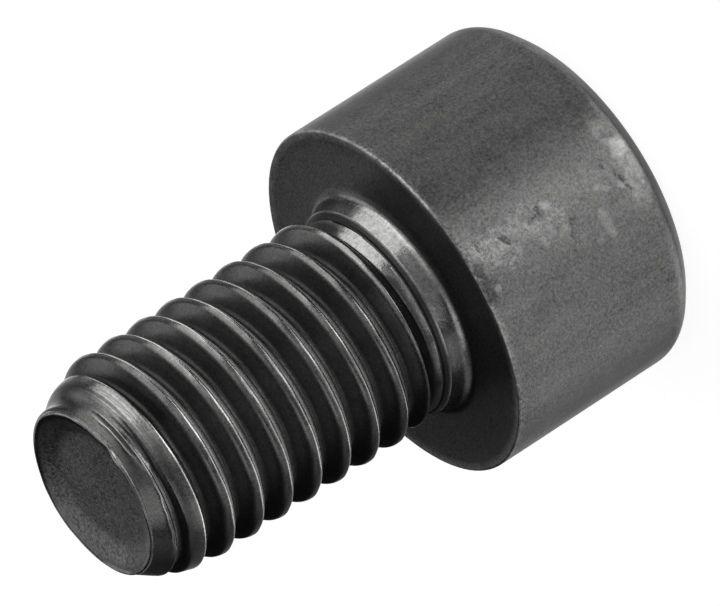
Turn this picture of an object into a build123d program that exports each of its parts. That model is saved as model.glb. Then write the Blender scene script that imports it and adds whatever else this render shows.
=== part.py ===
"""Cylinder-head ("cheese head") cap screw, M10 x 16, cold-headed and thread-rolled in one piece.

The screw stands on its drive face. The Z axis is the axis of the shank and +Z points to the
thread's end. The origin is the centre of the bearing face under the head, so the head lies below
z = 0 and the shank above it. Lengths are in millimetres and angles in degrees.
"""

from build123d import *
from math import atan, cos, radians, tan
import os

# Head
head_diameter = 15.87
head_height = 9.9
crown_width = 1.24  # chamfer round the drive face, in from the side
crown_height = 1.13  # the same chamfer, down the side
crown_side_rounding = 0.85  # where the chamfer meets the side
crown_face_rounding = 2.2  # where it meets the drive face
drive_face_land = 0.3  # the least flat that is left between that rounding and the socket
rim_break = 0.12  # small break on the edge of the bearing face

# Hexagon socket
socket_across_flats = 8.0
socket_depth = 5.0  # full depth of the flats
socket_floor_slope = 15.0  # the punched floor falls to its centre at this angle
mouth_lead = 0.13  # how far the countersink stands outside the hexagon's corners
mouth_slope = 30.0  # slope of the countersink from the drive face

# Neck, between the bearing face and the thread
fillet_radius = 0.55
collar_length = 1.09  # the collar under the head, its fillet included
collar_below_crest = 0.11  # the collar's radius is this much less than the crests'
neck_land = 0.12  # plain blank between the collar's step and the first rise of the thread

# Thread, a 60 degree form rolled into the blank
thread_diameter = 9.8  # over the crests
pitch = 1.5
crest_flat = 0.3
root_flat = 0.25
flank_angle = 30.0  # of each flank, from the plane across the axis
thread_phase = 0.22  # the groove crosses the +X side this share of a pitch above the bearing face
runout_turns = 0.97  # turns in which the groove fades out towards the neck

# Shank and point
shank_length = 15.75  # from the bearing face to the end of the point
point_inset = 0.38  # the point's edge lies this far inside the thread's root
point_length = 1.15  # the steep cone next to the end
taper_length = 1.6  # the gentler cone before it, where the crests begin to fall
taper_drop = 0.45  # how far the crests have fallen where the two cones meet
lip_width = 0.2  # flat lip that rolling leaves round the dished end
dish_slope = 35.0  # slope of the dish's wall from its floor
dish_depth = 0.45

head_radius = head_diameter / 2
hexagon_radius = socket_across_flats / 2 / cos(radians(30))
mouth_radius = hexagon_radius + mouth_lead

crest_radius = thread_diameter / 2
groove_half_width = (pitch - crest_flat) / 2
groove_depth = (groove_half_width - root_flat / 2) / tan(radians(flank_angle))
root_circle = crest_radius - groove_depth
blank_radius = (crest_radius + root_circle) / 2  # rolling lifts as much metal as it presses in
collar_radius = crest_radius - collar_below_crest

step_end = collar_length + collar_radius - blank_radius  # the collar ends in a 45 degree step
rise_start = step_end + neck_land
runout_end = rise_start + runout_turns * pitch
point_radius = root_circle - point_inset


def turned(half_section):
    """One turn about the Z axis of the closed half section that the given function draws."""
    with BuildPart() as blank:
        with BuildSketch(Plane.XZ):
            with BuildLine():
                half_section()
            make_face()
        revolve(axis=Axis.Z)
    return blank.part


def head_and_neck():
    """Head, fillet, collar, step and blank neck, with a core that thins down inside the thread."""
    drive_z = -head_height
    face_turn = atan(crown_height / crown_width)
    face_room = head_radius - crown_width - mouth_radius - drive_face_land
    face_rounding = min(crown_face_rounding, face_room / tan(face_turn / 2))
    core_radius = root_circle - root_flat / 4
    FilletPolyline(
        (0, drive_z),
        (head_radius - crown_width, drive_z),
        (head_radius, drive_z + crown_height),
        (head_radius, -rim_break),
        (head_radius - rim_break, 0),
        (collar_radius, 0),
        (collar_radius, collar_length),
        (blank_radius, step_end),
        (blank_radius, rise_start),
        (core_radius, runout_end),
        (0, runout_end),
        radius=[face_rounding, crown_side_rounding, 0, 0, fillet_radius, 0, 0, 0, 0],
    )
    Line((0, runout_end), (0, drive_z))


def crests_and_point():
    """What the crests reach: out of the neck, straight, down two cones, into the dish."""
    taper_end = shank_length - point_length
    buried = (blank_radius - (crest_radius - blank_radius) / 2, rise_start - neck_land)
    dish_radius = point_radius - lip_width
    dish_floor_radius = dish_radius - dish_depth / tan(radians(dish_slope))
    Polyline(
        (0, buried[1]),
        buried,
        (crest_radius, rise_start + pitch / 2),
        (crest_radius, taper_end - taper_length),
        (crest_radius - taper_drop, taper_end),
        (point_radius, shank_length),
        (dish_radius, shank_length),
        (dish_floor_radius, shank_length - dish_depth),
        (0, shank_length - dish_depth),
        close=True,
    )


def groove():
    """The thread's groove as a solid: a flat-bottomed V carried along a right-hand helix."""
    overshoot = pitch / 12  # the V runs on this far outside the crests
    mouth_half = groove_half_width + overshoot * tan(radians(flank_angle))
    start_z = thread_phase * pitch
    turns = (shank_length - start_z) / pitch + 1
    with BuildPart() as cut:
        with BuildLine() as path:
            Helix(pitch=pitch, height=turns * pitch, radius=crest_radius, center=(0, 0, start_z))
        with BuildSketch(Plane.XZ):
            Polygon(
                (crest_radius + overshoot, start_z + mouth_half),
                (root_circle, start_z + root_flat / 2),
                (root_circle, start_z - root_flat / 2),
                (crest_radius + overshoot, start_z - mouth_half),
                align=None,
            )
        sweep(path=path.line, is_frenet=True)
    return cut.part


def threaded_rod():
    """A rod that overruns the shank at both ends, with the groove cut round it."""
    overrun = 3 * pitch
    with BuildPart() as rod:
        with BuildSketch(Plane.XY.offset(-overrun)):
            Circle(crest_radius)
        extrude(amount=shank_length + 2 * overrun)
    return rod.part - groove()


def socket():
    """Hexagon socket with a countersunk mouth and a punched floor, as the solid to cut away."""
    drive_z = -head_height
    floor_z = drive_z + socket_depth
    floor_radius = socket_across_flats / 2
    with BuildPart() as recess:
        with BuildSketch(Plane.XY.offset(drive_z)):
            RegularPolygon(hexagon_radius, 6)
        extrude(amount=socket_depth)
        with BuildSketch(Plane.XZ):
            Polygon(
                (0, floor_z),
                (floor_radius, floor_z),
                (0, floor_z + floor_radius * tan(radians(socket_floor_slope))),
                align=None,
            )
            Polygon(
                (0, drive_z),
                (mouth_radius, drive_z),
                (0, drive_z + mouth_radius * tan(radians(mouth_slope))),
                align=None,
            )
        revolve(axis=Axis.Z)
    return recess.part


def screw():
    """The head and neck joined to the threaded shank, then opened by the socket."""
    shank = threaded_rod() & turned(crests_and_point)
    return turned(head_and_neck) + shank - socket()


os.makedirs("parts", exist_ok=True)
export_step(screw(), "parts/screw.step")
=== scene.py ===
"""Cylinder-head cap screw with a rolled thread, black finish, standing on its drive face.

Shapes are worked out in millimetres in the part's own frame (origin at the centre of the bearing
face, +Z to the thread's end) and put into the mesh in metres.  "Side" is the angle round the screw
in degrees from the side that faces the camera (-Y), positive towards +X.  The surface carries
shares from 0 to 1 as attributes for its finish: its wear, which in places also holds painted
light; its painted shade; how smoothly it is rolled; and how matt it is.
"""

import math

import bpy
import numpy as np
from mathutils import Matrix, Vector


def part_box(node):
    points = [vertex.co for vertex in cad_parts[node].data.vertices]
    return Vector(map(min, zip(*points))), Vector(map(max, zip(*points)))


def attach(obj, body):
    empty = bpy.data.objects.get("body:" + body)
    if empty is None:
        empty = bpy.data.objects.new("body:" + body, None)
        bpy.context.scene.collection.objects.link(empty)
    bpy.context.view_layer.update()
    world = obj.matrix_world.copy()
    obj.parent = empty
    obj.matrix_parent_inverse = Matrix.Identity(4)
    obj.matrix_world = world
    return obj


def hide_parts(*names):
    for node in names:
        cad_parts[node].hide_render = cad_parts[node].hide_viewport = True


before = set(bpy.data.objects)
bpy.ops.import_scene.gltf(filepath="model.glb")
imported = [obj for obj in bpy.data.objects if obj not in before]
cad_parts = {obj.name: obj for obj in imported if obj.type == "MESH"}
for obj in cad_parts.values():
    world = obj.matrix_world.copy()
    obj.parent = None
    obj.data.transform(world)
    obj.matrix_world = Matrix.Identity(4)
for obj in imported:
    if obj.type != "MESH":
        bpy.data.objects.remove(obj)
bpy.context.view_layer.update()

MM = 0.001
low, high = (np.array(corner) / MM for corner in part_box("screw"))

# Head
head_radius = (high[0] - low[0]) / 2
drive_z = low[2]
crown_width, crown_height = 1.24, 1.13
crown_side_rounding, crown_face_rounding = 0.85, 2.2
rim_rounding = 0.10
rim_foot = 0.15  # the head's side ends this far below the bearing face
burr_height = 0.05  # the bearing face rises this much to its rim, up to 1.8 times it on one side
out_of_round = 0.008
side_rows = 56

# Hexagon socket
socket_apothem = 4.0
socket_floor_z = drive_z + 5.0
socket_floor_slope = math.radians(15)
corner_sharpness = 60  # the higher, the tighter the hexagon's inner corners
mouth_radius = 4.749
mouth_edge = mouth_radius + 0.05
mouth_slope = math.radians(30)

# Neck
fillet_radius = 0.5
collar_lean = 0.11  # the forged collar narrows by this much from its fillet to its step
collar_radius, collar_length = 4.79, 0.95
collar_rounding = 0.06  # of the edge between collar and step
neck_radius = 4.489
step_end = collar_length + collar_radius - neck_radius
neck_start = step_end + 0.02
neck_rise = 0.035  # the bare neck stands this much higher at the step
neck_taper = 0.18  # and falls by this share of its length
neck_rounding = 0.1  # of the foot of the step

# Thread
crest_radius = 4.9
root_radius = 4.12
pitch = 1.5
flank_angle = math.radians(30)
root_flat, root_rounding = 0.25, 0.14
head_side_rounding, end_side_rounding = 0.27, 0.18  # of the two edges of the crest
crest_swell = 0.045  # the crests next to the neck stand a little higher than those near the point
crest_hollow, shoulder_fall = 0.04, 0.05  # of the crest beside its lip
lip_height, lip_width = 0.03, 0.065
lip_middle, lip_drift = -0.1, 0.055  # where the lip stands on the crest, and how far it strays
lip_least, lip_most = 0.2, 1.5  # how weak and how strong it gets, as shares of its height
thread_phase = 0.22
rise_start, runout_end = 1.511, 2.966
crest_start, crest_climb = 1.68, 0.58  # the first crest climbs out of the neck over this length
first_crest_z = 2.42
full_start, full_end = 2.4, 14.0  # the full thread lies between these heights

# Point
shank_end = high[2]
taper_start, taper_end = shank_end - 2.75, shank_end - 1.15
taper_radius = 4.45
cone_rounding = 0.12
last_groove = 14.45  # above this height the rows no longer follow the helix
last_level = shank_end - 0.1
level_rows = 38
fold_z, second_fold_z = 15.08, 15.10  # marks that rolling leaves round the point
crease_z, seam_z, hollow_z = 15.2, 14.76, 15.46
ridge_width = 0.035
point_radius = 3.697
end_lip_radius = 0.08
dish_radius, dish_depth = 3.53, 0.5
dish_sag = 0.08  # the part of the depth by which the dish's floor sinks towards its middle
end_tilt = 0.04  # the sheared end is higher on the side away from the camera
shank_lean = 0.007  # the shank leans a little towards +X, as rolling left it
shank_offset = 0.045  # and it starts a little to the -X side of the head's middle

weld_steps = 1e5  # in a millimetre; points that fall on the same step are one point


def arc(centre, radius, start, end, rows):
    """Points on an arc: centre plus radius times the cosine and sine of the turning angle."""
    turn = np.radians(np.linspace(start, end, rows))
    return np.stack([centre[0] + radius * np.cos(turn), centre[1] + radius * np.sin(turn)], 1)


def run(start, end, rows):
    """Points at equal steps along a straight line, its first point left out."""
    share = np.linspace(0, 1, rows + 1)[1:, None]
    return np.array(start) + share * (np.array(end) - np.array(start))


def soft_min(a, b, width):
    """The lower of two heights, with a round of the given width where they cross."""
    blend = np.clip(0.5 + 0.5 * (b - a) / width, 0, 1)
    return b + (a - b) * blend - width * blend * (1 - blend)


def soft_max(a, b, width):
    """The higher of two heights, rounded in the same way."""
    return -soft_min(-a, -b, width)


def bell(x, centre, width):
    """A bell curve: e to the minus half the square of the distance in widths."""
    return np.exp(-0.5 * ((x - centre) / width) ** 2)


def ramp(x, start, end):
    """Zero before start, one after end, and a smooth S between them."""
    share = np.clip((x - start) / (end - start), 0, 1)
    return share * share * (3 - 2 * share)


def fade(x, start, end):
    """One before start, zero after end, and the same smooth S between them."""
    return 1 - ramp(x, start, end)


def band(x, start, full, fall, end):
    """Zero before start, one from full to fall, and zero again after end."""
    return ramp(x, start, full) * fade(x, fall, end)


def stroke(u, w, start, end, width):
    """One along a straight stroke from start to end, fading sideways as a bell of the width."""
    run_u, run_w = end[0] - start[0], end[1] - start[1]
    share = ((u - start[0]) * run_u + (w - start[1]) * run_w) / (run_u ** 2 + run_w ** 2)
    share = np.clip(share, 0, 1)
    gap = np.hypot(u - start[0] - share * run_u, w - start[1] - share * run_w)
    return bell(gap, 0, width)


def around(waves, seed):
    """A mean of sines with the given whole numbers of waves round the screw, seeded phases."""
    phases = np.random.default_rng(seed).uniform(0, 2 * np.pi, len(waves))
    return sum(np.sin(n * phi + p) for n, p in zip(waves, phases)) / len(waves)


def wander(x, lengths, seed):
    """Irregular but repeatable: a mean of sines with the given wavelengths and seeded phases."""
    phases = np.random.default_rng(seed).uniform(0, 2 * np.pi, len(lengths))
    return sum(np.sin(2 * np.pi * x / n + p) for n, p in zip(lengths, phases)) / len(lengths)


# Columns round the screw: one degree apart on the side towards the camera, about three elsewhere
back_columns, front_columns = 57, 181
back_turns = np.linspace(0, 180, back_columns)[:-1]
turn_deg = np.concatenate([back_turns, np.linspace(180, 360, front_columns)])
phi = np.radians(turn_deg)[None, :]
side = (turn_deg - 270 + 180) % 360 - 180
side[-1] = side[0]
side = side[None, :]

# The part of neck and point that the dies polished most; on these sides the collar and neck are
# also painted lighter as a painted highlight
polish_and_highlight = band(side, 8, 20, 48, 60)

# What the surface carries for its finish, with its painted light and painted shade, beside its
# place
finish_fields = ("wear_and_painted_light", "rolled", "painted_shade", "matt")


def layer(r, z, wear_and_painted_light=0.0, rolled=0.0, painted_shade=0.0, matt=0.0):
    """Rows of the surface with their wear and painted light, how smoothly rolled, their painted
    shade and how matt they are.
    """
    fields = (r, z, wear_and_painted_light, rolled, painted_shade, matt)
    return np.stack([np.broadcast_to(np.asarray(field, float), r.shape) for field in fields])


def ring_rows(points):
    """A turned surface: each point of a half section repeated for every column."""
    r = np.repeat(points[:, :1], phi.size, 1)
    z = np.repeat(points[:, 1:], phi.size, 1)
    return r, z


def socket_wall(rows):
    """Six flats from the floor to the mouth: the apothem over a high norm of the cosines.

    The cosines are of the angles to the flats' normals, and the mouth cuts the corners lower."""
    normals = np.radians(np.arange(30, 390, 60))[:, None]
    reach = np.maximum(np.cos(phi - normals), 0) ** corner_sharpness
    r = socket_apothem / reach.sum(0) ** (1 / corner_sharpness)
    mouth_z = drive_z + (mouth_radius - r) * math.tan(mouth_slope)
    share = np.linspace(0, 1, rows)[:, None]
    return np.repeat(r[None, :], rows, 0), socket_floor_z + (mouth_z - socket_floor_z) * share


def socket_rows():
    """Punched floor cone, flat corners, six walls and the countersunk mouth."""
    cone_r = np.linspace(0, socket_apothem - 0.15, 7)
    cone_z = socket_floor_z + (socket_apothem - cone_r) * math.tan(socket_floor_slope)
    # The socket's floor is darkened with painted shade.
    floor = layer(*ring_rows(np.stack([cone_r, cone_z], 1)), painted_shade=0.3)
    wall_r, wall_z = socket_wall(8)
    share = np.array([0.08, 0.5, 0.93, 1.0])[:, None]
    mouth_r = wall_r[-1:] + (mouth_edge - wall_r[-1:]) * share
    mouth_z = wall_z[-1:] + (drive_z - wall_z[-1:]) * share
    mouth_wear = 0.5 * bell(share, 0.93, 0.2) * (0.7 + 0.6 * around((5, 11, 17, 31), seed=21))
    wall = layer(wall_r, wall_z, wear_and_painted_light=0.06, rolled=0.5)
    mouth = layer(mouth_r, mouth_z, wear_and_painted_light=mouth_wear, rolled=0.4)
    return np.concatenate([floor, wall, mouth], 1)


def head_section():
    """Half section from the socket's mouth round crown, side and rim to the foot of the step."""
    slope = math.atan2(crown_height, crown_width)
    face_bend = crown_face_rounding * math.tan(slope / 2)
    side_bend = crown_side_rounding * math.tan((math.pi / 2 - slope) / 2)
    face_r = head_radius - crown_width - face_bend
    side_z = drive_z + crown_height + side_bend
    turned_down = math.degrees(slope) - 90
    rim_centre = head_radius - rim_rounding
    foot_r = collar_radius + collar_lean / 2
    top_r = collar_radius - collar_lean / 2
    top_z = collar_length - 0.04
    face_centre = (face_r, drive_z + crown_face_rounding)
    side_centre = (head_radius - crown_side_rounding, side_z)
    fillet = arc((foot_r + fillet_radius, fillet_radius), fillet_radius, 270, 190, 8)
    neck_centre = (neck_radius + neck_rise + neck_rounding, neck_start)
    return np.vstack([
        run((mouth_edge, drive_z), (face_r, drive_z), 2)[:-1],
        arc(face_centre, crown_face_rounding, -90, turned_down, 9),
        arc(side_centre, crown_side_rounding, turned_down, 0, 9),
        run((head_radius, side_z), (head_radius, -rim_foot), side_rows),
        arc((rim_centre, -rim_rounding), rim_rounding, 12, 90, 5),
        run((rim_centre, 0), (fillet[0, 0], 0), 7)[:-1],
        fillet,
        run(fillet[-1], (top_r, top_z), 3),
        arc((top_r - collar_rounding, top_z), collar_rounding, 15, 45, 3),
        run((top_r - 0.02, collar_length + 0.01), (neck_radius + 0.08, step_end - 0.05), 3),
        arc(neck_centre, neck_rounding, 225, 180, 3),
    ])


def head_rows():
    """The turned head and collar, knocked on its side, with a burr that rises to its rim.

    The rim and the collar's edge are worn bright; the collar is smooth and polished, and lighter on
    the right as a painted highlight; the step is darkened with painted shade, and the bearing face
    carries a painted shadow of the shank on all but its right side."""
    r, z = ring_rows(head_section())
    outside = ramp(r, head_radius - 1.1, head_radius - 0.4) * (z < -0.02)
    waves = out_of_round * around((2, 3, 5), seed=31) * ramp(z, drive_z, drive_z + 2)
    r = r - outside * (dents(z) + waves)

    rim = bell(np.hypot(r - head_radius + 0.04, z + 0.04), 0, 0.055)
    knocked_dull = 0.35 + 0.65 * ramp(np.abs(side + 2), 12, 20)
    wear_and_painted_light = rim * knocked_dull * (0.9 + 0.5 * around((7, 13, 29, 41, 57), seed=33))
    collar_edge = bell(np.hypot(r - collar_radius, z - collar_length), 0, 0.09)
    wear_and_painted_light = np.maximum(wear_and_painted_light, 0.5 * collar_edge * (0.8 + 0.6 * around((9, 17, 23, 47), seed=35)))
    step = ramp(z, collar_length, collar_length + 0.03)
    # The collar is lightened all round as polish, and more on the right as a painted highlight.
    wear_and_painted_light = np.maximum(wear_and_painted_light, (0.4 + 0.4 * polish_and_highlight) * ramp(z, 0.08, 0.2)) * (1 - 0.95 * step)
    wear_and_painted_light = np.maximum(wear_and_painted_light, 0.1 * ((z > -0.02) & (z < 0.08)))
    rolled = np.where(z > 0.02, 1.0, np.where(z > -0.02, 0.35, 0.0))

    # Painted shade darkens the step between collar and neck.
    painted_shade = 0.9 * step * fade(z, step_end - 0.03, step_end + 0.02)
    # Painted shadow of the shank: the bearing face is darkened on all but its right side.
    shank_painted_shadow = fade(r * np.sin(np.radians(side)), 3.6, 5.0)
    bearing_face = (z > -0.02) & (z < 0.1) & (r < head_radius - 0.12)
    painted_shade = painted_shade + 0.75 * shank_painted_shadow * bearing_face
    burr = burr_height * (1 + 0.8 * bell(side, -80, 40)) * ramp(r, 7.2, 7.85) * ramp(z, -0.4, -0.1)
    return layer(r, z + burr, np.clip(wear_and_painted_light, 0, 1), rolled, painted_shade)


def dents(z):
    """Depth of the knocks in the head's side, each a stroke across the unrolled side."""
    u = np.radians(side) * head_radius
    knocks = (  # depth, start, end, width
        (0.05, (0.05, -3.85), (-0.27, -3.73), 0.10),
        (0.05, (-0.2, -3.7), (-0.31, -3.24), 0.09),
        (0.05, (-0.11, -1.73), (-0.59, -1.99), 0.08),
        (0.03, (0.08, -0.7), (-0.15, -0.66), 0.08),
        (0.03, (-0.96, -4.94), (-1.78, -4.60), 0.08),
        (0.035, (-0.49, -7.61), (-1.34, -7.92), 0.10),
        (0.05, (1.2, -8.3), (-1.6, -8.4), 0.28),
    )
    rim_depth = 0.07 + 0.06 * wander(u, (0.37, 0.61, 0.23), seed=37)
    rim = rim_depth * stroke(u, z, (-0.75, -0.1), (-2.1, -0.05), 0.16)
    return rim + sum(depth * stroke(u, z, *place) for depth, *place in knocks)


def point_limit(z):
    """How far out the metal reaches near the end: the crests, a gentle cone, a steep cone.

    On one side the cones lie a little lower, where the dies let go of the blank."""
    gentle_slope = (crest_radius - taper_radius) / (taper_end - taper_start)
    steep_slope = (taper_radius - point_radius) / (shank_end - taper_end)
    gentle = crest_radius - (z - taper_start) * gentle_slope
    steep = point_radius + (shank_end - z) * steep_slope
    cones = soft_min(gentle, steep, cone_rounding)
    slack = 0.15 * band(z, 13.4, 14.2, 15.3, 15.6) + 0.12 * bell(z, 15.1, 0.2)
    crests = np.full_like(cones, crest_radius + crest_swell)
    return soft_min(crests, cones, cone_rounding) - slack * bell(side, 103, 32)


def thread_form(z):
    """Thread form: a V with a flat root and a crest with one raised lip, held under neck and point.

    The distance from the nearest crest's middle along the axis is v; the flanks rise at 30
    degrees from the plane across the axis; the crest is a flat that falls away to a shoulder on
    the end's side, with a lip that is a bell beside the middle on the head's side.  Under the
    neck the groove runs out into a core that narrows from the neck to the root."""
    turns = phi / (2 * np.pi)
    q = z / pitch - thread_phase - turns - 0.5
    crest = np.round(q)
    v = (q - crest) * pitch
    along = crest + turns

    flank = root_radius + (pitch / 2 - np.abs(v) - root_flat / 2) / math.tan(flank_angle)
    groove = soft_max(flank, np.full_like(flank, root_radius), root_rounding)
    ragged = wander(along, (0.83, 0.31, 0.17, 0.071, 0.037), seed=3)
    lip_at = lip_middle + lip_drift * wander(along, (1.9, 0.47, 0.19, 0.11), seed=5)
    lip = np.clip(0.75 + 0.9 * ragged, lip_least, lip_most)
    top = crest_radius - crest_hollow + crest_swell * fade(z, 3, 12)
    top = top - shoulder_fall * ramp(v, -0.02, 0.25) + lip_height * lip * bell(v, lip_at, lip_width)
    form = soft_min(groove, top, np.where(v < 0, head_side_rounding, end_side_rounding))

    climb = neck_radius + (z - crest_start) * (crest_radius - neck_radius) / crest_climb
    neck = neck_radius + neck_rise - neck_taper * np.clip(z - step_end, 0, 0.5)
    limit = soft_min(soft_max(climb, neck, 0.06), point_limit(z), 0.05)
    narrowing = (root_radius - 0.06 - neck_radius) / (runout_end - rise_start)
    core = np.minimum(neck_radius + (z - rise_start) * narrowing, neck)
    r = soft_max(np.minimum(form, limit), core, 0.04)
    r, folds_and_highlight, crease_painted_shade = end_folds(r, limit, z)
    return layer(r, z, *thread_finish(r, z, v, along, ragged, lip, lip_at, folds_and_highlight, crease_painted_shade))


def thread_finish(r, z, v, along, ragged, lip, lip_at, folds_and_highlight, crease_painted_shade):
    """Wear and painted light, rolling, painted shade and mattness of the thread.

    Bright bells across the axis run along the lip, a broken second line and the crest's edge on the
    head's side; a painted highlight makes them strongest a little to the right and painted shade
    weakens them on the left, and the edge's line is partly painted light.  The bare neck is
    polished, and lighter on the right as a painted highlight.  Roots, the flanks that face the end
    and the left side are darkened with painted shade; the flanks that face the head are matt and
    lightened with painted light."""
    # Painted shade on the left side: less wear and more shade on the thread there.
    left_painted_shade = band(-side, 45, 75, 105, 135)
    # Painted highlight and painted shade: the crest lines are lighter a little to the right and
    # darker on the left.
    painted_side_light = 1 + 0.45 * band(side, 5, 35, 60, 75) - 0.45 * ramp(-side, 15, 60)
    lip_line = np.clip(0.1 + 0.45 * lip, 0, 1) * bell(v, lip_at - 0.015, 0.06)
    crest_haze = 0.13 * bell(v, 0.04, 0.08) * (1 + ragged)
    broken = np.clip(3 * wander(along, (0.37, 0.21, 0.13), seed=9), 0, 1)
    second_line = 0.5 * broken * bell(v, -0.2 + 0.04 * wander(along, (0.8, 0.3), seed=7), 0.03)
    # The line on the crest's edge towards the head is partly edge wear and partly painted light on
    # an edge that lies in shade.
    edge_line = (0.7 + 0.3 * ragged) * bell(v, -0.27, 0.09)
    wear_and_painted_light = (lip_line + crest_haze + second_line) * painted_side_light
    wear_and_painted_light = np.maximum(wear_and_painted_light, edge_line) * (1 - 0.5 * ramp(side, 62, 75))
    # The bare neck is polished, and reaches higher and lighter on the right as a painted highlight.
    neck_polish = fade(z, 1.3 + 0.45 * polish_and_highlight, 1.55 + 0.4 * polish_and_highlight)
    wear_and_painted_light = np.maximum(wear_and_painted_light, (0.4 * polish_and_highlight + 0.45) * neck_polish)
    raised = np.where(z < 2, 1, ramp(r, crest_radius - 0.7, crest_radius - 0.25))
    first_crest = 0.4 * bell(np.hypot(r - crest_radius + 0.04, z - first_crest_z), 0, 0.09)
    wear_and_painted_light = np.maximum(wear_and_painted_light * raised * (1 - 0.5 * left_painted_shade), folds_and_highlight) + first_crest
    # The flanks that face the head are made matt and lightened with painted light where they lie in
    # shade.
    head_flank = band(-v, 0.15, 0.21, 0.6, 0.68)
    head_flank = head_flank * band(z, full_start, full_start + 0.6, full_end - 1, full_end)
    wear_and_painted_light = np.maximum(np.clip(wear_and_painted_light, 0, 1), 0.35 * head_flank * (1 - left_painted_shade))

    # Painted shade in the roots, and on the flanks that face the end except on the right.
    roots = 0.8 * fade(r, root_radius + 0.05, root_radius + 0.3) * band(z, 1.6, 2.0, 14.6, 14.9)
    end_flank = 0.65 * ramp(v, 0.08, 0.3) * fade(side, 40, 60)
    end_flank = end_flank * band(z, full_start, full_start + 0.6, full_end - 0.6, full_end)
    painted_shade = np.maximum(np.maximum(roots, end_flank) * (1 - 0.8 * head_flank), 0.75 * left_painted_shade)
    # Painted shade at the foot of the neck, weaker on the right.
    painted_shade = np.maximum(painted_shade, 0.5 * (1 - polish_and_highlight) * band(z, 1.4, 1.6, 1.8, 2.1))
    return wear_and_painted_light, 1.0, np.clip(painted_shade + crease_painted_shade, 0, 1), head_flank * (1 - 0.7 * left_painted_shade)


def end_folds(r, limit, z):
    """The last groove closes on one side, and two folds and a seam run round the point.

    Each fold is a ridge, a bell across the axis about a height that bends with the side."""
    closed = band(side, 8, 38, 145, 175) * ramp(z, 14.5, 14.75)
    r = r + (limit - r) * closed
    on_cones = ramp(z, 14.5, 14.7)
    on_front = band(side, -75, -50, 30, 48)
    first_at = fold_z + 0.22 * ramp(side, -12, 14) - 0.10 * ramp(-side, 40, 60)
    first_at = first_at + 0.02 * around((17, 29), seed=41)
    second_at = second_fold_z + 0.03 * ramp(side, 0, 30)
    crease_at = crease_z - 0.06 * ramp(-side, -5, 5)
    seam_at = seam_z + 0.07 * ramp(-side, -5, 12)
    first = bell(z, first_at, ridge_width) * on_front
    second = bell(z, second_at, 0.03) * on_front * ramp(side, -12, 0)
    crease = bell(z, crease_at, ridge_width) * on_front * ramp(side, -14, 4)
    seam = bell(z, seam_at, ridge_width) * band(side, -16, -4, 18, 32)
    hollow = bell(z, hollow_z, 0.10) * bell(side, 3, 8)
    raised = 0.03 * first + 0.028 * second
    sunk = 0.03 * crease + 0.045 * seam + 0.03 * hollow
    r = r + on_cones * (raised - sunk)

    lines = 0.7 + 0.6 * np.sin(z * 61 + 3 * np.sin(z * 17))
    # Painted highlight on the gentle cone a little to the right, broken into streak lines and
    # carried with the folds' wear.
    streak_highlight = 0.9 * bell(side, 35, 16) * bell(z, 14.45, 0.28) * lines * ramp(z, 13.6, 13.9)
    folds_and_highlight = np.clip(on_cones * (0.75 * first + 0.65 * second) + streak_highlight, 0, 1)
    # Painted shade in the crease, the seam and the hollow on the point.
    crease_painted_shade = on_cones * np.clip(0.7 * crease + 0.8 * seam + 0.5 * hollow, 0, 1)
    return r, folds_and_highlight, crease_painted_shade


def thread_rows():
    """Rows that follow the helix: height = start + pitch times turns, cut off at both ends.

    Past the last whole crest the rows are level rings instead, close together."""
    outward = np.array([0.035, 0.07, 0.105, 0.14, 0.18, 0.23, 0.30, 0.40, 0.50, 0.58, 0.64, 0.69])
    places = np.concatenate([-outward[::-1], [0], outward, [pitch / 2]])
    turns = np.arange(-2, int((last_groove - neck_start) / pitch) + 2)
    start = ((turns[:, None] + thread_phase + 0.5) * pitch + places[None, :]).ravel()
    start = start[(start > neck_start - pitch) & (start < last_groove)]
    start = np.concatenate([[neck_start - pitch], start])
    helical = np.clip(start[:, None] + pitch * phi / (2 * np.pi), neck_start, last_groove)
    level = np.linspace(last_groove, last_level, level_rows)[:, None]
    return thread_form(np.vstack([helical, np.repeat(level, phi.size, 1)]))


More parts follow.
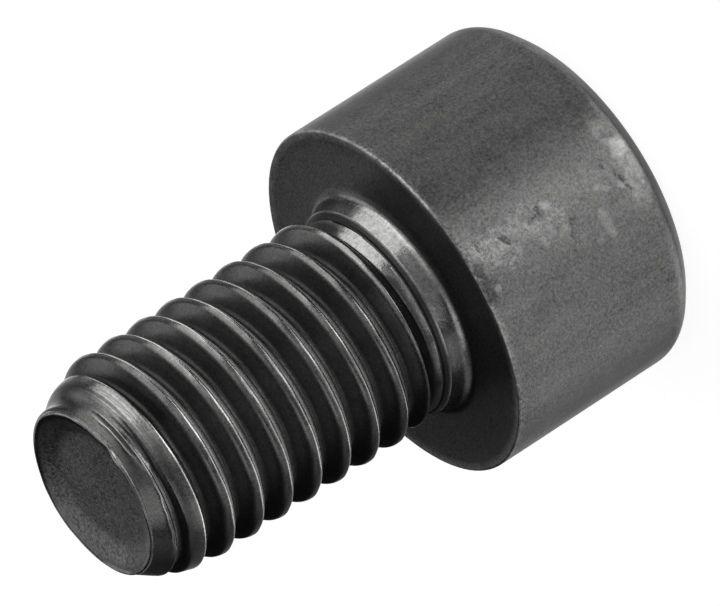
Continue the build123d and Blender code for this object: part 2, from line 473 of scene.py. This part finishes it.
def end_rows():
    """Raised rim, then a dish: a wall falling as a smooth S to a floor that sinks a little more."""
    lip = arc((-0.04, -0.03), end_lip_radius, -20, 150, 11) + (point_radius, shank_end)
    wall = [0.98, 0.955, 0.93, 0.9, 0.87, 0.84, 0.8, 0.76, 0.71]
    share = np.array(wall + [0.65, 0.57, 0.46, 0.34, 0.2, 0.08, 0])
    fall = (dish_depth - dish_sag) * fade(share, 0.70, 1.02) + dish_sag * (1 - share ** 2)
    bowl = np.stack([dish_radius * share, shank_end - fall], 1)
    r, z = ring_rows(np.vstack([lip, bowl]))
    lip_r = point_radius - 0.05
    on_lip = bell(r, lip_r, 0.07)

    z = z - 0.07 * ramp(np.abs(side), 90, 150) * ramp(r, 2.8, 3.4)
    r = r - 0.10 * bell(side, 122, 22) * ramp(r, 2.5, 3.4)
    nick_r = 0.05 * bell(side, 18, 3) - 0.09 * bell(side, 10, 4)
    nick_z = 0.03 * bell(side, 9, 4) - 0.05 * bell(side, 19, 4)
    r = r + on_lip * (0.02 * around((3, 5, 9), seed=43) + nick_r)
    z = z + on_lip * (0.015 * around((4, 7, 13, 23), seed=45) + nick_z)
    z = z + 0.03 * fade(r, 2.2, 3.0) * around((2, 3), seed=47) * ramp(r, 0, 1.5)

    dull = 0.75 * bell(side, -12, 12) + 0.6 * bell(side, -65, 15)
    behind = 0.35 + 0.65 * fade(np.abs(side - 10), 65, 95)
    lip_line = bell(r, lip_r, 0.055) * (0.9 + 0.4 * around((11, 19, 37), seed=49))
    wear_and_painted_light = np.clip(lip_line * (1 - dull) * behind, 0, 1)
    wear_and_painted_light = np.maximum(wear_and_painted_light, bell(side, 12, 7) * bell(r, lip_r, 0.12))
    # Painted highlight on the dish's wall where it faces the light from the right.
    wear_and_painted_light = np.maximum(wear_and_painted_light, 0.3 * bell(side, -130, 14) * bell(r, 2.7, 0.35))
    wear_and_painted_light = np.maximum(wear_and_painted_light, 0.25 * fade(r, 3.4, 3.6))
    # The dish's floor is darkened a little with painted shade.
    return layer(r, z, wear_and_painted_light, rolled=ramp(r, 3.2, 3.5), painted_shade=0.12 * fade(r, 2.4, 3.1))


def leaning(r, z):
    """The turned and threaded surface as it came off the dies: end face tilted, shank leaning."""
    x, y = r * np.cos(phi), r * np.sin(phi)
    on_shank = ramp(z, 0.3, 1.5)
    lean = shank_lean * on_shank
    tilt = end_tilt * ramp(z, taper_start, last_level)
    shift = lean * z - shank_offset * on_shank
    return np.stack([x + shift, y, z + tilt * y - lean * x], -1)


def welded(rows):
    """Closes the grid of rows and columns into one surface without doubles or empty faces."""
    points = leaning(rows[0], rows[1]).reshape(-1, 3)
    keys = np.round(points * weld_steps).astype(np.int64)
    _, kept, place = np.unique(keys, axis=0, return_index=True, return_inverse=True)
    place = place.reshape(rows.shape[1:])
    a, b = place[:-1, :-1], place[:-1, 1:]
    c, d = place[1:, 1:], place[1:, :-1]
    halves = [np.stack(corners, -1).reshape(-1, 3) for corners in ((a, b, c), (a, c, d))]
    faces = np.concatenate(halves)
    real = (faces != np.roll(faces, 1, 1)).all(1)
    return points[kept], faces[real], rows[2:].reshape(len(rows) - 2, -1)[:, kept]


def mesh_object(name, points, faces):
    """A smooth-shaded mesh at the origin from points in millimetres and triangles."""
    mesh = bpy.data.meshes.new(name)
    mesh.vertices.add(len(points))
    mesh.vertices.foreach_set("co", (points * MM).astype(np.float32).ravel())
    mesh.loops.add(faces.size)
    mesh.loops.foreach_set("vertex_index", faces.astype(np.int32).ravel())
    mesh.polygons.add(len(faces))
    mesh.polygons.foreach_set("loop_start", np.arange(0, faces.size, 3, dtype=np.int32))
    mesh.update(calc_edges=True)
    mesh.validate()
    mesh.shade_smooth()
    piece = bpy.data.objects.new(name, mesh)
    bpy.context.scene.collection.objects.link(piece)
    return piece


class Wire:
    """One socket of a finish, so that its maths can be written as sums and products."""

    def __init__(self, finish, socket):
        self.finish, self.socket = finish, socket

    def __add__(self, other):
        return self.finish.maths("ADD", self, other)

    def __radd__(self, other):
        return self.finish.maths("ADD", other, self)

    def __sub__(self, other):
        return self.finish.maths("SUBTRACT", self, other)

    def __rsub__(self, other):
        return self.finish.maths("SUBTRACT", other, self)

    def __mul__(self, other):
        return self.finish.maths("MULTIPLY", self, other)

    def __rmul__(self, other):
        return self.finish.maths("MULTIPLY", other, self)

    def __pow__(self, other):
        return self.finish.maths("POWER", self, other)


class Finish:
    """A material under construction, with one way to add each node."""

    def __init__(self, name):
        self.material = bpy.data.materials.new(name)
        self.material.use_nodes = True
        self.tree = self.material.node_tree
        self.shader = self.tree.nodes["Principled BSDF"]

    def node(self, kind, settings=None, sockets=None, output=0):
        """Adds a node of the given type, sets it up, then gives its sockets values or links."""
        node = self.tree.nodes.new("ShaderNode" + kind)
        for name, value in (settings or {}).items():
            setattr(node, name, value)
        for name, value in (sockets or {}).items():
            self.feed(node.inputs[name], value)
        return Wire(self, node.outputs[output])

    def feed(self, socket, value):
        """Links a wire to the socket, or sets the socket to a plain value."""
        if isinstance(value, Wire):
            self.tree.links.new(value.socket, socket)
        else:
            socket.default_value = value

    def maths(self, operation, *values):
        """One Math node on the given wires and numbers."""
        return self.node("Math", {"operation": operation}, dict(enumerate(values)))

    def step(self, value, start, end):
        """Zero before start, one after end, a smooth S between them."""
        spans = {"Value": value, "From Min": start, "From Max": end}
        return self.node("MapRange", {"interpolation_type": "SMOOTHSTEP"}, spans)

    def clamp(self, value, least=0.0, most=1.0):
        """The value held between least and most."""
        return self.node("Clamp", None, {"Value": value, "Min": least, "Max": most})

    def noise(self, place, scale, detail, roughness, distortion=0.0):
        """Cloudy noise with its middle at zero, the scale counted per millimetre."""
        sockets = {"Vector": place, "Scale": scale, "Detail": detail}
        sockets.update({"Roughness": roughness, "Distortion": distortion})
        return self.node("TexNoise", {"noise_dimensions": "3D"}, sockets) - 0.5

    def stretched(self, place, scales):
        """The place with each axis scaled by its own number."""
        return self.node("VectorMath", {"operation": "MULTIPLY"}, {0: place, 1: scales})

    def attribute(self, name):
        """A number that the surface carries at its points."""
        return self.node("Attribute", {"attribute_name": name}, output="Fac")

    def mark(self, u, w, start, end, width):
        """One on a straight stroke from start to end, falling to zero at the width beside it."""
        run_u, run_w = end[0] - start[0], end[1] - start[1]
        length = run_u ** 2 + run_w ** 2
        share = (u - start[0]) * (run_u / length) + (w - start[1]) * (run_w / length)
        share = self.clamp(share)
        gap_u, gap_w = u - start[0] - share * run_u, w - start[1] - share * run_w
        return 1 - self.step((gap_u * gap_u + gap_w * gap_w) ** 0.5, 0.3 * width, width)

    def marks(self, u, w, strokes):
        """A sum of marks, each given as its strength, start, end and width."""
        total = 0.0
        for strength, start, end, width in strokes:
            total = self.mark(u, w, start, end, width) * strength + total
        return total


# Marks on the head's side, unrolled: strength, then start, end and width in millimetres
crown_scrape = (
    (0.55, (1.5, -8.15), (0.4, -8.4), 0.6),
    (1.0, (0.4, -8.45), (-1.1, -8.4), 0.6),
    (0.5, (-1.1, -8.35), (-2.1, -8.15), 0.65),
)
bare_flecks = (
    (0.7, (-1.6, -6.27), (-2.3, -6.27), 0.30),
    (0.7, (-2.45, -6.33), (-2.62, -6.33), 0.2),
    (0.4, (-2.45, -5.78), (-2.52, -5.74), 0.25),
    (1.0, (-0.95, -7.6), (-1.0, -7.65), 0.2),
    (1.0, (0.0, -4.15), (-0.08, -4.3), 0.25),
    (0.6, (-0.5, -6.55), (-0.88, -7.05), 0.16),
    (1.0, (-1.8, -0.62), (-1.9, -0.58), 0.2),
    (0.6, (-1.1, -3.45), (-1.4, -3.4), 0.15),
)
cloudy_scuffs = (
    (0.7, (0.2, -0.5), (0.0, -2.5), 0.4),
    (0.9, (-0.5, -0.9), (-0.9, -1.7), 0.9),
    (0.6, (-0.1, -3.2), (-0.9, -4.2), 1.1),
)
# Painted shade in the bottoms of the knocks in the head's side.
dent_painted_shade = (
    (1.0, (0.05, -3.85), (-0.28, -3.72), 0.12),
    (1.0, (-0.2, -3.65), (-0.31, -3.22), 0.10),
    (1.0, (-0.11, -1.73), (-0.59, -1.99), 0.075),
    (1.0, (0.08, -0.7), (-0.12, -0.66), 0.09),
    (0.8, (-0.96, -4.94), (-1.78, -4.6), 0.07),
    (1.0, (0.03, -7.15), (0.0, -7.3), 0.11),
    (0.7, (-0.49, -7.61), (-1.34, -7.92), 0.09),
    (0.5, (-0.72, -0.25), (-2.1, -0.2), 0.28),
)

# Tone of the blackened steel, and what wear with its painted light and scrapes add to it
black_tone, wear_and_light_gain, scraped_gain = 0.115, 0.34, 0.16
darkest, lightest = 0.02, 0.8
# Roughness of the rolled faces, and what the sandy skin adds to it
rolled_roughness, sandy_gain = 0.29, 0.17
grain_depth = 0.012 * MM


def black_oxide():
    """Black oxide over cold-forged and rolled steel: sandy skin, smoother rolled faces, worn edges.

    The tone is a product of a fine speckle, a slow cloud and the marks, and it chooses between
    black and bare steel; the roughness and the grain's height follow the same masks."""
    finish = Finish("black_oxide")
    place = finish.stretched(finish.node("TexCoord", output="Object"), (1 / MM, 1 / MM, 1 / MM))
    x, y, z = (finish.node("SeparateXYZ", None, {0: place}, axis) for axis in "XYZ")
    wear_and_painted_light, rolled, painted_shade, matt = (finish.attribute(name) for name in finish_fields)
    sandy = 1 - rolled

    speckle = finish.noise(place, 7.5, 2.0, 0.6)
    grit = finish.noise(place, 16.0, 1.0, 0.5)
    cloud = finish.noise(place, 0.7, 3.0, 0.6, 0.4)
    blot = finish.noise(place, 2.6, 3.0, 0.65, 0.6)
    drawn = finish.noise(finish.stretched(place, (1.0, 1.0, 0.12)), 1.0, 3.0, 0.6)
    wobble = finish.noise(place, 4.0, 3.0, 0.7)
    flutter = finish.noise(place, 9.0, 2.0, 0.6)

    outside = finish.step((x * x + y * y) ** 0.5, 7.0, 7.3)
    u = finish.maths("ARCTAN2", x, 0.0 - y) * head_radius + wobble * 0.5
    w = z + wobble * 0.3 + flutter * 0.25
    scrape = finish.marks(u, w, crown_scrape) * (0.45 + blot * 1.8)
    flecks = finish.marks(u, w, bare_flecks) * 0.5
    scuffs = finish.marks(u, w, cloudy_scuffs) * finish.step(blot + flutter * 0.8, -0.18, 0.2)
    bright = (scrape + flecks + scuffs * 0.6) * outside
    # Painted shade in the dents' bottoms, broken up by the flutter.
    dent_shade = finish.marks(u, w, dent_painted_shade) * finish.step(flutter, -0.22, 0.1)
    # All painted shade, from the dents and from the surface's share, darkens the tone, roughens it
    # and lowers the grain.
    dark = finish.clamp(dent_shade * outside * 0.8 + painted_shade)

    # Wear, together with the painted light it carries, lightens the tone towards bare steel.
    wear_and_light_mask = finish.clamp(wear_and_painted_light * (1.0 + blot * 0.9 + speckle * 1.2))
    grain = 0.65 + 0.75 * sandy * finish.step(z, -0.3, 0.0)
    fine = grain * (speckle * (1.1 * sandy + 1.2) + grit * 1.6)
    skin = black_tone * (1.0 + fine + cloud * 0.5 + blot * 0.35 + drawn * sandy * 0.7)
    tone = (skin + wear_and_light_mask * wear_and_light_gain + bright * scraped_gain) * (1 - dark * 0.7)
    tone = finish.clamp(tone, darkest, lightest)
    black, bare = (0.0, 0.0, 0.0, 1.0), (1.0, 0.995, 0.985, 1.0)
    colour = finish.node("Mix", {"data_type": "RGBA"}, {0: tone, 6: black, 7: bare}, 2)
    finish.feed(finish.shader.inputs["Base Color"], colour)

    rough = rolled_roughness + sandy_gain * sandy
    rough = rough + speckle * 0.12 + cloud * 0.08 - wear_and_light_mask * 0.08 + dark * 0.15
    finish.feed(finish.shader.inputs["Roughness"], finish.clamp(rough, 0.2, 0.8))
    height = (speckle * (0.35 + 0.65 * sandy) + grit * 0.5) * grain + blot * 0.6 - dark * 0.5
    relief = {"Strength": 1.0, "Distance": grain_depth, "Height": height}
    finish.feed(finish.shader.inputs["Normal"], finish.node("Bump", None, relief))
    finish.feed(finish.shader.inputs["Metallic"], 1.0 - matt * 0.8)
    finish.shader.inputs["Specular Tint"].default_value = (0.6, 0.6, 0.6, 1.0)
    return finish.material


rows = np.concatenate([socket_rows(), head_rows(), thread_rows(), end_rows()], 1)
points, faces, looks = welded(rows)
screw = mesh_object("screw_body", points, faces)
for name, values in zip(finish_fields, looks):
    field = screw.data.attributes.new(name, "FLOAT", "POINT")
    field.data.foreach_set("value", values.astype(np.float32))
screw.data.materials.append(black_oxide())

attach(screw, "root")
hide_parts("screw")

floor_reach = 4  # metres
floor_z = low[2] * MM
floor_tone, floor_glow = 0.3, 0.9
corners = ((-1, -1), (1, -1), (1, 1), (-1, 1))
floor_mesh = bpy.data.meshes.new("floor")
floor_points = [(x * floor_reach, y * floor_reach, floor_z) for x, y in corners]
floor_mesh.from_pydata(floor_points, [], [(0, 1, 2, 3)])
floor = bpy.data.objects.new("floor", floor_mesh)
bpy.context.scene.collection.objects.link(floor)
pale = bpy.data.materials.new("pale_floor")
pale.use_nodes = True
pale_shader = pale.node_tree.nodes["Principled BSDF"]
pale_shader.inputs["Base Color"].default_value = (floor_tone, floor_tone, floor_tone, 1)
pale_shader.inputs["Roughness"].default_value = 1.0
pale_shader.inputs["Emission Color"].default_value = (1, 1, 1, 1)
pale_shader.inputs["Emission Strength"].default_value = floor_glow
floor.data.materials.append(pale)
floor.visible_diffuse = floor.visible_glossy = floor.visible_shadow = False


def sun(name, azimuth, elevation, spread, strength):
    """A soft light from far off, its azimuth counted as the sides are and all angles in degrees."""
    light = bpy.data.lights.new(name, "SUN")
    light.energy = strength
    light.angle = math.radians(spread)
    lamp = bpy.data.objects.new(name, light)
    a, e = math.radians(azimuth), math.radians(elevation)
    towards = Vector((math.sin(a) * math.cos(e), -math.cos(a) * math.cos(e), math.sin(e)))
    lamp.rotation_euler = towards.to_track_quat("Z", "Y").to_euler()
    bpy.context.scene.collection.objects.link(lamp)


# Each light's name, azimuth, elevation, spread and strength
sun("softbox_right", 69, 6, 65, 1.25)
sun("under_front", 13, -66, 40, 1.2)
sun("low_front", 0, -29, 30, 0.85)
sun("low_front_left", -52, -36, 40, 0.6)
sun("left_front", -30, -15, 30, 0.2)
sun("low_left", -104, -43, 40, 1.05)
sun("low_back_left", -140, -30, 50, 0.35)
sun("low_back_right", 118, -46, 40, 0.85)
sun("back_right_low", 130, -18, 40, 0.15)
sun("back", 165, -10, 40, 0.5)
sun("low_back", 178, -38, 50, 0.9)
sun("back_right", 125, 30, 40, 0.35)
sun("high_back", 154, 72, 40, 0.25)
sun("high_left", -56, 33, 40, 0.4)
sun("high_middle", -8, 44, 50, 0.22)
sun("high_right", 55, 38, 40, 0.2)
sun("front", 5, 0, 50, 0.2)
sun("left", -75, -3, 40, 0.15)
sun("left_back", -112, 14, 40, 0.1)
sun("back_top", 165, 35, 40, 0.13)
sun("high_front", 28, 29, 40, 0.3)

room_glow = 0.02
world = bpy.data.worlds.new("studio")
world.use_nodes = True
room = world.node_tree.nodes["Background"]
room.inputs["Color"].default_value = (1, 1, 1, 1)
room.inputs["Strength"].default_value = room_glow
bpy.context.scene.world = world
bpy.context.scene.view_settings.view_transform = "Standard"

# Camera: a long lens, looking along +Y and down on the screw, rolled so that the shank lies
# across the picture towards its lower left corner.
camera_elevation = math.radians(24.52)
camera_roll = math.radians(-122.75)
camera_distance = 457.9
right_of_axis, above_axis = 1.366, 0.081
focal_length, sensor_width = 565, 36
lens = bpy.data.cameras.new("camera")
lens.lens = focal_length
lens.sensor_width = sensor_width
lens.clip_start, lens.clip_end = 0.01, 10
camera = bpy.data.objects.new("camera", lens)
looking_down = Matrix.Rotation(math.pi / 2 - camera_elevation, 3, "X")
turned = looking_down @ Matrix.Rotation(camera_roll, 3, "Z")
stand = turned @ (Vector((-right_of_axis, -above_axis, camera_distance)) * MM)
camera.matrix_world = Matrix.Translation(stand) @ turned.to_4x4()
bpy.context.scene.collection.objects.link(camera)
bpy.context.scene.camera = camera
